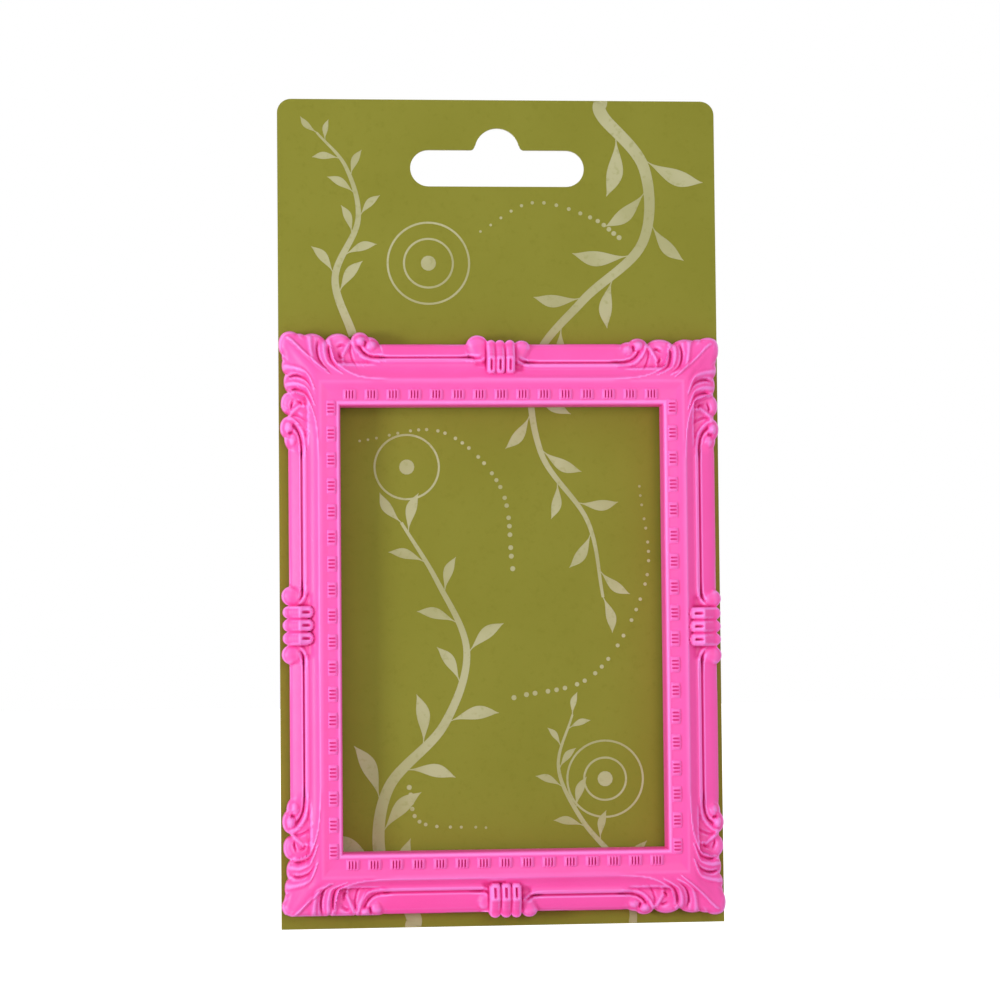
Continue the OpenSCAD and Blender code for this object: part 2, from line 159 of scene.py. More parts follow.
# For the top and bottom, and for the sides: where the columns stop slanting, from the corner tips, how
# far the fine mesh of a clasp reaches, and the strip channel's half length, mm
SLANT_END = (24.0, 28.0)
CLASP_FINE = (8.8, 9.6)
CHANNEL_HALF = (25.7, 38.2)
# How far a clasp's relief reaches from the middle of its rail, mm
CLASP_END = 10.5
# Share of the rail's width over which the rows follow the outline
OUTLINE_SHARE = 0.56
# Heights over the moulding's back: beside the ornament, at the rolled rim, and at the rim of a clasp, mm
OUTER_HEIGHT = 4.0
RIM_HEIGHT = 2.75
CLASP_RIM = 2.9
# How far in the rim rolls over, mm
RIM_ROLL = 1.15
# Height of the rows that keep an edge crisp, and how far the back's outer edge is drawn in, mm
EDGE_ROW = 0.25
BACK_PULL = 0.3
# The steep end of a strip channel: its run, where it starts, and the channel's depth past it, mm
END_RUN = 0.02
END_START = 0.021
HAIR = 0.004

# Heights along a finger, its slit and the grooves beside it as (depth, half width), mm
FINGER_RISE = [5.0, 6.32, 5.75]
FINGER_SLIT = (0.95, 0.16)
FINGER_GROOVE = (0.2, 0.1)
# The bed of a scroll, the foot of its dome and the dome's rise, mm
SCROLL_BED, DOME_FOOT, DOME_RISE = 4.1, 3.6, 1.2
# Clasps by rail: fingers as (centre, half width), their outer and inner ends, slots, scrolls as
# (centre, in from the straight edge, radius, drawn out inwards); distances from the straight edge, mm
CLASPS = {
    "top": {
        "fingers": [(-1.75, 0.82), (-0.22, 0.86), (1.48, 0.84)],
        "reach": (-0.7, 5.25),
        "slots": (2.95, 4.4),
        "scrolls": [(-4.05, 0.3, 1.85, 1.3), (3.5, 0.9, 1.55, 1.3)],
    },
    "bottom": {
        "fingers": [(-1.92, 1.0), (-0.08, 0.9), (1.65, 0.9)],
        "reach": (-0.97, 5.05),
        "slots": (2.75, 4.05),
        "scrolls": [(-3.5, 2.0, 1.6, 0.3), (3.9, 0.48, 1.42, 1.0)],
    },
    "left": {
        "fingers": [(-1.53, 1.1), (0.67, 1.1), (2.87, 1.1)],
        "reach": (-1.15, 4.05),
        "slots": (2.3, 3.3),
        "scrolls": [(-4.25, 0.33, 1.65, 0.6), (5.6, 0.33, 1.65, 0.6)],
    },
    "right": {
        "fingers": [(-2.37, 1.1), (-0.16, 1.1), (2.05, 1.1)],
        "reach": (-0.63, 5.1),
        "slots": (2.9, 3.85),
        "scrolls": [(-5.1, 0.82, 1.6, 0.6), (4.56, 0.72, 1.5, 0.6)],
    },
}


def number(name, description, default, **kind):
    """A setting that holds a number."""
    return bpy.props.FloatProperty(name=name, description=description, default=default, **kind)


def metres(name, description, default):
    """A setting that holds a length."""
    return number(name, description, default, unit="LENGTH")


class MouldingSettings(bpy.types.PropertyGroup):
    """Sizes of the scrolled moulding"""

    half_width: metres("Half Width", "From the middle to the left corner tips", 0.03772)
    top: metres("Top", "Height of the upper left corner tip", 0.050475)
    bottom: metres("Bottom", "Depth of the lower left corner tip", 0.049525)
    edge_top: metres("Top Edge", "Straight top edge above the middle", 0.048175)
    edge_bottom: metres("Bottom Edge", "Straight bottom edge below the middle", 0.0479)
    edge_left: metres("Left Edge", "Straight left edge from the middle", 0.03615)
    edge_right: metres("Right Edge", "Straight right edge from the middle", 0.0365)
    window_across: metres("Window Across", "Half the width of the window", 0.0274)
    window_up: metres("Window Up", "Half the height of the window", 0.03755)
    back: metres("Back Plane", "Distance from the card's back to the moulding", 0.0008)
    step_fine: metres("Fine Step", "Mesh spacing in the ornament", 0.00019)
    step_coarse: metres("Coarse Step", "Mesh spacing along the straight runs", 0.0009)
    rebate_width: metres("Rebate Width", "Overlap of the photo rebate", 0.0022)
    rebate_depth: metres("Rebate Depth", "Depth of the photo rebate", 0.0012)
    channel_across: metres("Channel Above", "Window to the strip channel over and under it", 0.004725)
    channel_side: metres("Channel Beside", "Window to the strip channel beside it", 0.003)
    channel_width: metres("Channel Width", "Width of the strip channel", 0.0044)
    channel_depth: metres("Channel Depth", "Depth of the strip channel", 0.0016)
    foot_trim: metres("Foot Trim", "How far the lower left foot is trimmed", 0.0014)


class TabletSettings(bpy.types.PropertyGroup):
    """Sizes of the fluted tablets beside the window"""

    across: bpy.props.IntProperty(name="Across", description="Tablets along the top and bottom", default=15, min=1)
    down: bpy.props.IntProperty(name="Down", description="Tablets along each side", default=18, min=1)
    pitch_across: metres("Pitch Across", "Spacing along the top and bottom", 0.00366)
    pitch_down: metres("Pitch Down", "Spacing along the sides", 0.00437)
    shift_across: metres("Shift Across", "Rows along the top and bottom to the right", -0.0002)
    fill: number("Fill", "Share of the spacing that a tablet takes", 0.65, subtype="FACTOR")
    row_across: metres("Row Height", "Middle of the channel above the window centre", 0.03944)
    row_down: metres("Row Offset", "Middle of the channel beside the window centre", 0.02898)
    reach_across: metres("Reach Across", "Tablet length over a horizontal rail", 0.0019)
    reach_down: metres("Reach Down", "Tablet length over a side rail", 0.00165)
    base: metres("Base", "Height of a tablet's foot above the moulding's back", 0.0053)
    rise: metres("Rise", "Height of a tablet over its foot", 0.0007)
    slit: metres("Slit", "Length of a tablet's slits", 0.0013)
    # Share of the painted shade in the slits that the tablets beside the window keep.
    side_slit_shade: number("Side Slit Depth", "Darkness of the slits beside the window", 0.55, subtype="FACTOR")
    slit_pitch: metres("Slit Pitch", "Spacing of a tablet's slits", 0.00052)


class PrintSettings(bpy.types.PropertyGroup):
    """The leaf print on the card"""

    ink: metres("Ink", "Thickness of the printed layer", 0.00002)
    leaf: metres("Leaf", "Length of the longest leaf", 0.0105)
    seed: bpy.props.IntProperty(name="Seed", description="Seed of the small irregularities", default=7)


class StageSettings(bpy.types.PropertyGroup):
    """Camera and light"""

    distance: metres("Distance", "Camera to its target", 0.45)
    azimuth: number("Azimuth", "Camera angle round the frame", math.radians(-4.75), subtype="ANGLE")
    elevation: number("Elevation", "Camera angle over the horizon", math.radians(-2.66), subtype="ANGLE")
    roll: number("Roll", "Camera turn about its line of sight", math.radians(-0.55), subtype="ANGLE")
    target: bpy.props.FloatVectorProperty(
        name="Target", description="Point at the middle of the picture", default=(-0.00007, -0.0005, 0.021775)
    )
    lens: number("Lens", "Focal length for a 36 mm sensor, mm", 94.64)
    key_power: number("Key Power", "Left lamp, W", 1.6)
    fill_power: number("Fill Power", "Front lamp, W", 0.53)
    ambient: number("Ambient", "Strength of the surrounding light", 0.6)


# Node helpers


def add_node(tree, kind, settings=(), inputs=()):
    """A node of this type with its settings, its inputs given by name or number as values or sockets."""
    made = tree.nodes.new(kind)
    for name, value in dict(settings).items():
        setattr(made, name, value)
    for name, value in dict(inputs).items():
        plug(tree, made.inputs[name], value)
    return made


def plug(tree, socket, value):
    """Sets a socket to a plain value, or links it to a socket or field."""
    if isinstance(value, Field):
        value = value.socket
    if isinstance(value, bpy.types.NodeSocket):
        tree.links.new(value, socket)
    else:
        socket.default_value = value


class Field:
    """A shader number that takes part in sums like a plain one."""

    def __init__(self, tree, socket):
        self.tree = tree
        self.socket = socket

    def math(self, operation, *others):
        made = add_node(self.tree, "ShaderNodeMath", {"operation": operation}, dict(enumerate([self, *others])))
        return Field(self.tree, made.outputs[0])

    def __add__(self, other):
        return self.math("ADD", other)

    def __mul__(self, other):
        return self.math("MULTIPLY", other)

    __radd__ = __add__
    __rmul__ = __mul__

    def ramp(self, low, high):
        """0 below low, 1 above high, smooth between."""
        settings = {"interpolation_type": "SMOOTHSTEP"}
        made = add_node(self.tree, "ShaderNodeMapRange", settings, {"Value": self, "From Min": low, "From Max": high})
        return Field(self.tree, made.outputs["Result"])


class Finish:
    """A material with a Principled shader and the fields that feed it."""

    def __init__(self, name):
        self.material = bpy.data.materials.new(name)
        self.material.use_nodes = True
        self.tree = self.material.node_tree
        self.tree.nodes.clear()
        self.shader = add_node(self.tree, "ShaderNodeBsdfPrincipled")
        add_node(self.tree, "ShaderNodeOutputMaterial", (), {"Surface": self.shader.outputs["BSDF"]})
        self.place = add_node(self.tree, "ShaderNodeTexCoord").outputs[COORDINATES]

    def axis(self, letter):
        split = add_node(self.tree, "ShaderNodeSeparateXYZ", (), {"Vector": self.place})
        return Field(self.tree, split.outputs[letter])

    def attribute(self, name):
        made = add_node(self.tree, "ShaderNodeAttribute", {"attribute_name": name})
        return Field(self.tree, made.outputs["Fac"])

    def noise(self, size, detail=3.0, roughness=0.5):
        """Soft noise whose blotches are about this many metres wide, around 0.5."""
        inputs = {"Vector": self.place, "Scale": 1.0 / size, "Detail": detail, "Roughness": roughness}
        made = add_node(self.tree, "ShaderNodeTexNoise", (), inputs)
        return Field(self.tree, made.outputs[0])

    def cells(self, size):
        made = add_node(self.tree, "ShaderNodeTexVoronoi", (), {"Vector": self.place, "Scale": 1.0 / size})
        return Field(self.tree, made.outputs["Distance"])

    def blend(self, first, second, factor):
        made = add_node(self.tree, "ShaderNodeMix", {"data_type": "RGBA"}, {"Factor": factor, 6: first, 7: second})
        return made.outputs[2]

    def bump(self, height, distance, strength=1.0):
        inputs = {"Height": height, "Distance": distance, "Strength": strength}
        made = add_node(self.tree, "ShaderNodeBump", (), inputs)
        plug(self.tree, self.shader.inputs["Normal"], made.outputs["Normal"])

    def set(self, **values):
        for name, value in values.items():
            plug(self.tree, self.shader.inputs[name.replace("_", " ").title().replace("Ior", "IOR")], value)


def srgb(red, green, blue):
    """Linear colour of an sRGB colour given from 0 to 255."""

    def channel(value):
        value /= 255.0
        return value / 12.92 if value <= 0.04045 else ((value + 0.055) / 1.055) ** 2.4

    return (channel(red), channel(green), channel(blue), 1.0)


# Finishes


def neon_plastic():
    """Satin neon plastic, with painted shade in the hollows of the relief and a painted highlight on its raised lines.
    """
    finish = Finish("neon_plastic")
    cloud = finish.noise(0.012)
    grain = finish.noise(0.0005, detail=2.0)
    hollow = finish.attribute("hollow")
    body = finish.blend((0.995, 0.099, 0.462, 1.0), (0.99, 0.089, 0.44, 1.0), cloud.ramp(0.35, 0.65))
    # Painted highlight: a lilac tint on the raised lines, standing in for the light they catch.
    lit = finish.blend(body, (0.99, 0.27, 0.78, 1.0), 0.9 * finish.attribute("ridge"))
    # Painted shade: a deep magenta in the hollows and slits, standing in for the shade that falls there.
    colour = finish.blend(lit, (0.68, 0.025, 0.24, 1.0), hollow)
    finish.set(base_color=colour, roughness=0.38 + 0.1 * grain, specular_ior_level=0.4)
    finish.bump(grain + 0.6 * finish.noise(0.0022), 0.00002)
    return finish.material


def speckled_rubber():
    """Dark flexible magnet with a fine speckle."""
    finish = Finish("speckled_rubber")
    speck = finish.noise(0.0003, detail=4.0)
    colour = finish.blend((0.022, 0.019, 0.017, 1.0), (0.055, 0.048, 0.043, 1.0), speck.ramp(0.45, 0.7))
    finish.set(base_color=colour, roughness=0.62 + 0.2 * speck)
    finish.bump(speck, 0.00004)
    return finish.material


def fibre_tape():
    """Pale film with faint fibres."""
    finish = Finish("fibre_tape")
    fibre = finish.noise(0.0008, detail=5.0)
    colour = finish.blend((0.74, 0.7, 0.6, 1.0), (0.84, 0.81, 0.73, 1.0), fibre.ramp(0.4, 0.65))
    finish.set(base_color=colour, roughness=0.35 + 0.15 * fibre)
    finish.bump(fibre, 0.00001)
    return finish.material


def milky_glue():
    """Milky removable glue with small bubbles."""
    finish = Finish("milky_glue")
    bubble = finish.cells(0.0006).ramp(0.05, 0.3)
    colour = finish.blend((0.62, 0.61, 0.56, 1.0), (0.8, 0.79, 0.74, 1.0), bubble)
    finish.set(base_color=colour, roughness=0.16 + 0.1 * bubble, coat_weight=0.3)
    finish.bump(bubble, 0.00003)
    return finish.material


def olive_board():
    """Board with an olive front, pale cut edges and a plain grey back."""
    finish = Finish("olive_board")
    depth = finish.axis("Y")
    fibre = finish.noise(0.0011, detail=6.0, roughness=0.65)
    cloud = finish.noise(0.02)
    front = finish.blend(srgb(131, 129, 44), srgb(135, 133, 48), cloud.ramp(0.3, 0.7))
    front = finish.blend(front, srgb(125, 122, 40), fibre.ramp(0.52, 0.72) * 0.5)
    edge = finish.blend(srgb(205, 202, 180), srgb(222, 219, 202), fibre)
    back = finish.blend(srgb(198, 195, 186), srgb(214, 211, 203), fibre)
    not_front = depth.ramp(-0.00049, -0.00048)
    is_back = depth.ramp(-0.00002, -0.00001)
    colour = finish.blend(finish.blend(front, edge, not_front), back, is_back)
    finish.set(base_color=colour, roughness=0.6 + 0.12 * fibre, specular_ior_level=0.12)
    finish.bump(fibre, 0.00001, 0.6)
    return finish.material


def card_ink():
    """Pale ink over the olive front."""
    finish = Finish("card_ink")
    fibre = finish.noise(0.0009, detail=5.0)
    colour = finish.blend(srgb(168, 165, 118), srgb(182, 179, 138), finish.noise(0.015).ramp(0.35, 0.65))
    colour = finish.blend(colour, srgb(150, 149, 88), fibre.ramp(0.55, 0.75) * 0.5)
    finish.set(base_color=colour, roughness=0.55 + 0.1 * fibre, specular_ior_level=0.12)
    return finish.material


FINISHES = {
    "neon_plastic": neon_plastic,
    "speckled_rubber": speckled_rubber,
    "fibre_tape": fibre_tape,
    "milky_glue": milky_glue,
    "olive_board": olive_board,
    "card_ink": card_ink,
}


def finish_of(name):
    return bpy.data.materials.get(name) or FINISHES[name]()


# Mesh helpers


def placed(name, data):
    """A new object with this data, in the collection in use."""
    made = bpy.data.objects.new(name, data)
    bpy.context.collection.objects.link(made)
    return made


def new_piece(name, verts, faces, body, finish, sharp=None):
    """A closed mesh piece from points in millimetres, riding on its body."""
    mesh = bpy.data.meshes.new(name)
    mesh.from_pydata((np.asarray(verts) * MM).tolist(), [], faces)
    mesh.update()
    mesh.materials.append(finish_of(finish))
    piece = placed(name, mesh)
    if sharp:
        mesh.shade_smooth()
        mesh.set_sharp_from_angle(angle=math.radians(sharp))
    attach(piece, body)
    return piece


def smooth(low, high, value):
    share = np.clip((value - low) / (high - low), 0.0, 1.0)
    return share * share * (3.0 - 2.0 * share)


def through(points, count=14):
    """A smooth line through the points, with every column interpolated."""
    points = np.array(points, float)
    ends = np.vstack([2 * points[0] - points[1], points, 2 * points[-1] - points[-2]])
    rows = []
    for a, b, c, d in zip(ends[:-3], ends[1:-2], ends[2:-1], ends[3:]):
        t = np.linspace(0.0, 1.0, count, endpoint=False)[:, None]
        rows.append(0.5 * (2 * b + (c - a) * t + (2 * a - 5 * b + 4 * c - d) * t**2 + (3 * b - a - 3 * c + d) * t**3))
    return np.vstack([*rows, points[-1]])


def nearest(line, x, y):
    """Distance from each place to the line, which side it lies on, and the line's other columns there."""
    a, b = line[:-1], line[1:]
    step = b[:, :2] - a[:, :2]
    length = (step**2).sum(axis=1)
    px = x.ravel()[:, None] - a[:, 0]
    py = y.ravel()[:, None] - a[:, 1]
    share = np.clip((px * step[:, 0] + py * step[:, 1]) / length, 0.0, 1.0)
    dx = px - share * step[:, 0]
    dy = py - share * step[:, 1]
    gap = np.hypot(dx, dy)
    best = gap.argmin(axis=1)
    row = np.arange(len(best))
    t = share[row, best][:, None]
    extra = a[best, 2:] * (1 - t) + b[best, 2:] * t
    side = np.sign(step[best, 0] * dy[row, best] - step[best, 1] * dx[row, best])
    return gap[row, best].reshape(x.shape), side.reshape(x.shape), extra.reshape(x.shape + (extra.shape[1],))


def profile(share):
    table = np.array(RAIL_PROFILE)
    return np.interp(share, table[:, 0], table[:, 1])


def raise_line(height, line, x, y):
    """The surface with a rounded rib laid over it."""
    gap, _, extra = nearest(line, x, y)
    top, half = extra[..., 0], extra[..., 1]
    crisp = 0.3 * half
    top = np.clip(top, height + LEAST_RISE, height + MOST_RISE)
    rib = top - (np.sqrt(gap**2 + crisp**2) - crisp) - 0.3 * (gap / half) ** 2 * half
    return soft_max(height, rib, 0.06)


def sink_line(height, line, x, y):
    gap, _, extra = nearest(line, x, y)
    return height - extra[..., 0] * np.exp(-((gap / extra[..., 1]) ** 2))


def soft_max(a, b, reach):
    share = np.clip(0.5 + 0.5 * (a - b) / reach, 0.0, 1.0)
    return b * (1 - share) + a * share + reach * share * (1 - share) * 0.5


def stretch_in(points):
    """Corner lines are noted to a slightly narrower rail: their inward distances grow past the straight edge."""
    start = NOTED_INSET
    return [(a, v if v < start else start + (v - start) * NOTED_GROWTH, *rest) for a, v, *rest in points]


# Moulding


class Rail:
    """One half of a rail, measured from a corner: along it, and in from the line of the tips."""

    def __init__(self, settings, kind, corner):
        self.kind = kind
        self.corner = corner
        self.side = kind == "side"
        self.place = ("right" if corner[0] > 0 else "left") if self.side else kind
        self.half = corner[1] if self.side else corner[0]
        self.groove, self.long, self.narrow = HALVES[self.place, self.half]
        self.settings = settings
        tips = settings.half_width / MM - TIP_BACK[corner][0]
        ends = (settings.top if corner[1] > 0 else settings.bottom) / MM - TIP_BACK[corner][1]
        self.line, self.centre = (tips, ends) if self.side else (ends, tips)
        edge = getattr(settings, "edge_" + self.place) / MM
        window = (settings.window_across if self.side else settings.window_up) / MM
        self.inset = self.line - edge
        self.width = edge - window
        self.channel = self.width - (settings.channel_side if self.side else settings.channel_across) / MM

    def local(self, along, inward):
        """Distances in the upper left corner's top half, in whose measure the ornament is noted."""
        groove = self.inset + self.groove
        crest = self.inset + CREST * self.width
        past = 8.0
        places = [0.0, self.inset, groove, groove + RIB_BEYOND, crest, crest + past]
        inner = [NOTED_INSET + share * NOTED_WIDTH for share in (GROOVE, RIB_INNER, CREST)]
        values = [0.0, self.inset / self.narrow, *inner, inner[-1] + past / self.narrow]
        return along / self.long, np.interp(inward, places, values)

    def straight(self, along, share):
        """Height of the plain rail here, its groove and rib moved to where this half has them."""
        own, middle = self.groove, (self.groove + HALVES[self.place, -self.half][0]) / 2
        away = smooth(*CLASP_FADE, np.abs(self.clasp_place(along)))
        groove = (middle + (own - middle) * away) / self.width
        beside = 0.05
        low, high = groove - beside, groove + RIB_BEYOND / self.width
        outer = share * (GROOVE - beside) / low
        near = np.where(
            share < groove,
            GROOVE - beside + share - low,
            GROOVE + (share - groove) * (RIB_INNER - GROOVE) / (high - groove),
        )
        inner = CREST - (CREST - share) * (CREST - RIB_INNER) / (CREST - high)
        noted = np.select([share < low, share < high, share < CREST], [outer, near, inner], share)
        return profile(noted)

    def outline(self, along):
        """Distance in from the tips at which the outline runs."""
        edge = np.full_like(along, self.inset)
        reach = TIP_RADIUS * (1.16 if self.side else 1.0)
        tip = TIP_RADIUS * self.narrow
        rounds = [(reach, tip, reach, tip)]
        for a, v, r in SIDE_SCALLOPS if self.side else SCALLOPS:
            rounds.append((a * self.long, v * self.narrow, r * self.long, r * self.narrow))
        for a, v, ra, rv in rounds:
            inside = np.abs(along - a) < ra
            bow = v - rv * np.sqrt(np.clip(1 - ((along - a) / ra) ** 2, 0, 1))
            edge = np.where(inside, np.minimum(edge, bow), edge)
        if self.kind == "bottom":
            calm = smooth(2.5, 4.6, along) * (0.62 if self.half < 0 else 0.1)
            edge = edge + (self.inset - edge) * calm
            if self.half < 0:
                flat = self.settings.foot_trim / MM
                edge = np.maximum(edge, flat + 0.35 * (1 - smooth(0.5, 1.7, along)))
        c = self.clasp_place(along)
        clasp = CLASPS[self.place]
        knobs = [(m, clasp["reach"][0] + r, r) for m, r in clasp["fingers"]] + [s[:3] for s in clasp["scrolls"]]
        for m, e, r in knobs:
            bow = self.inset + e - np.sqrt(np.clip(r * r - (c - m) ** 2, 0, None))
            edge = np.where(np.abs(c - m) < r, np.minimum(edge, bow), edge)
        return edge

    def clasp_place(self, along):
        """Distance from the middle of the rail, growing to the right or upwards."""
        return (self.centre - along) * self.half


def columns_of(rail, settings):
    """Places along half a rail where the mesh has its columns."""
    fine, coarse = settings.step_fine / MM, settings.step_coarse / MM
    zone = FINE_END * rail.long
    reach = CLASP_FINE[rail.side]
    channel = rail.centre - CHANNEL_HALF[rail.side]
    first = np.linspace(TIP_START, zone, int((zone - TIP_START) / (fine * rail.long)) + 1)
    middle = np.linspace(zone, rail.centre - reach, int((rail.centre - reach - zone) / coarse) + 2)[1:-1]
    last = np.linspace(rail.centre - reach, rail.centre, int(reach / (fine * 1.05)) + 1)
    places = np.concatenate([first, middle, last])
    at = np.abs(places - channel).argmin()
    places[at] = channel
    places[at - 1] = channel - END_RUN
    return places, at


def corner_height(rail, other, along, inward):
    """Height of a corner's relief, blended from its two halves at the mitre."""
    one = half_corner_height(rail, along, inward)
    two = half_corner_height(other, inward, along)
    end_along = other.inset + CREST * other.width
    end_inward = rail.inset + CREST * rail.width
    run = np.array([end_along - TIP_START, end_inward - TIP_START])
    run /= np.hypot(*run)
    off = (along - TIP_START) * run[1] - (inward - TIP_START) * run[0]
    share = smooth(-MITRE_BLEND, MITRE_BLEND, off)
    height = two + (one - two) * share
    crest = through([(v, a, *rest) if rail.side else (a, v, *rest) for a, v, *rest in MITRE_CREST])
    return raise_line(height, crest, along, inward)


def half_corner_height(rail, along, inward):
    a, v = rail.local(along, inward)
    share = (inward - rail.inset) / rail.width
    straight = rail.straight(along, np.clip(share, 0, 1))
    sweep = through(stretch_in(CORNER_SWEEP))
    gap, side, extra = nearest(sweep, a, v)
    leaf = OUTER_HEIGHT + (CREST_HEIGHT - OUTER_HEIGHT) * smooth(*LEAF_SLOPE, v)
    cove = profile(np.clip(CREST - gap / NOTED_WIDTH, 0.33, 1)) + (extra[..., 0] - CREST_HEIGHT) * 0.6
    outer = OUTER_HEIGHT + (straight - OUTER_HEIGHT) * smooth(*OUTER_FADE, a)
    valley = outer + (cove - outer) * smooth(*VALLEY_FADE, v)
    height = np.where(side > 0, leaf, valley)
    height = raise_line(height, sweep, a, v)
    for line in CORNER_RIDGES:
        height = raise_line(height, through(stretch_in(line)), a, v)
    for x, y, r, top in BEADS:
        ball = np.hypot(a - x, v - y) / r
        height = soft_max(height, top - 0.9 * ball**2, 0.15)
    for line in CORNER_GROOVES:
        height = sink_line(height, through(stretch_in(line)), a, v)
    return height + (straight - height) * smooth(*RELIEF_FADE, a)


def clasp_height(rail, along, inward, height):
    """The relief with the fingers and scrolls of the rail's clasp laid over it."""
    clasp = CLASPS[rail.place]
    c = rail.clasp_place(along)
    e = inward - rail.inset
    for m, at, r, drawn in clasp["scrolls"]:
        sign = math.copysign(1.0, m)
        groove = HALVES[rail.place, int(sign)][0]
        rib = groove + RIB_BEYOND
        bed = (1 - smooth(abs(m) - 0.2, abs(m) + 1.0, c * sign)) * (c * sign > 0)
        height = height + (SCROLL_BED - height) * bed * (1 - smooth(rib + 0.1, rib + 1.2, e))
        ball = np.hypot(c - m + sign * 0.25 * np.clip(e - at, 0, drawn), e - np.clip(e, at, at + drawn)) / r
        dome = DOME_FOOT + DOME_RISE * np.sqrt(np.clip(1 - ball**2, 0, 1))
        height = np.where(ball < 1, soft_max(height, dome, 0.5), height)
        at += drawn / 2
        rib_line = [
            (m + sign * 6.0, rib, 4.8, 0.4), (m + sign * 3.4, rib, 4.82, 0.4),
            (m + sign * 1.1 * r, rib - 0.05, 4.85, 0.4),
            (m + sign * 0.25 * r, (rib + at + 1.2 * r) / 2, 4.9, 0.4), (m - sign * 0.5 * r, at + 1.0 * r, 4.85, 0.36),
            (m - sign * 0.98 * r, at + 0.45 * r, 4.6, 0.32), (m - sign * 1.08 * r, at - 0.1 * r, 4.3, 0.28),
        ]
        height = raise_line(height, through(rib_line), c, e)
        curl = [
            (m + sign * (r + 1.4), groove, 0.0, 0.16), (m + sign * 0.8 * r, groove - 0.03, 0.55, 0.16),
            (m + sign * 0.2 * r, (groove + at + 0.9 * r) / 2, 0.65, 0.17),
            (m - sign * 0.2 * r, at + 0.82 * r, 0.5, 0.15),
            (m - sign * 0.45 * r, at + 0.55 * r, 0.05, 0.12),
        ]
        height = sink_line(height, through(curl), c, e)
    start, end = clasp["reach"]
    (slit_depth, slit_half), (groove_depth, groove_half) = FINGER_SLIT, FINGER_GROOVE
    for m, r in clasp["fingers"]:
        run = np.clip(e, start + r, end - r)
        gap = np.hypot(c - m, e - run) / r
        rise = np.interp(run, [start + r, (start + end) / 2 + 0.3, end - r], FINGER_RISE)
        bar = rise - 0.7 * (1 - np.sqrt(np.clip(1 - gap**2, 0, 1)))
        slot_gap = np.hypot(c - m, e - np.clip(e, *clasp["slots"]))
        slit = np.exp(-((slot_gap / slit_half) ** 2))
        height = np.where(gap < 1, soft_max(height - 0.4, bar, 0.12), height) - slit_depth * slit
        along_side = smooth(start + 1.3, start + 2.4, e) * (1 - smooth(end - r, end - 0.4 * r, e))
        height = height - np.exp(-(((gap - 1.0) / groove_half) ** 2)) * groove_depth * along_side
    return height


def front_heights(rail, other, along, inward):
    """Heights of the front of half a rail, from its outline to the window."""
    share = (inward - rail.inset) / rail.width
    own = (along - other.inset) / other.width
    straight = rail.straight(along, np.clip(np.minimum(share, own), 0, 1))
    near = along[:, 0] < RELIEF_END * rail.long
    height = straight.copy()
    relief = corner_height(rail, other, along[near], inward[near])
    inner = smooth(CREST, LEAF_END, np.minimum(share, own)[near])
    height[near] = relief + (straight[near] - relief) * inner
    mid = along[:, 0] > rail.centre - CLASP_END
    height[mid] = clasp_height(rail, along[mid], inward[mid], height[mid])
    rim = np.stack([along[:, 0], inward[:, 0], inward[:, 0] * 0, inward[:, 0] * 0], axis=1)
    gap, _, _ = nearest(rim, along[near], inward[near])
    roll = np.clip(1 - gap / RIM_ROLL, 0, 1)
    rolled = RIM_HEIGHT + (height[near] - RIM_HEIGHT) * np.sqrt(1 - roll**2)
    blend = 1 - smooth(*RIM_FADE, along[near] / rail.long)
    height[near] = height[near] + (rolled - height[near]) * blend
    height[mid, 0] = np.minimum(height[mid, 0], CLASP_RIM)
    return height


def front_shares():
    """Places across a rail where the mesh has its front rows."""
    shares = [0.0]
    for share, _ in RAIL_PROFILE[1:]:
        gap = 0.0225 if share <= 0.6 else 0.07
        count = max(1, math.ceil((share - shares[-1]) / gap - 0.05))
        start = shares[-1]
        shares += [start + (share - start) * (i + 1) / count for i in range(count)]
    return np.array(shares)


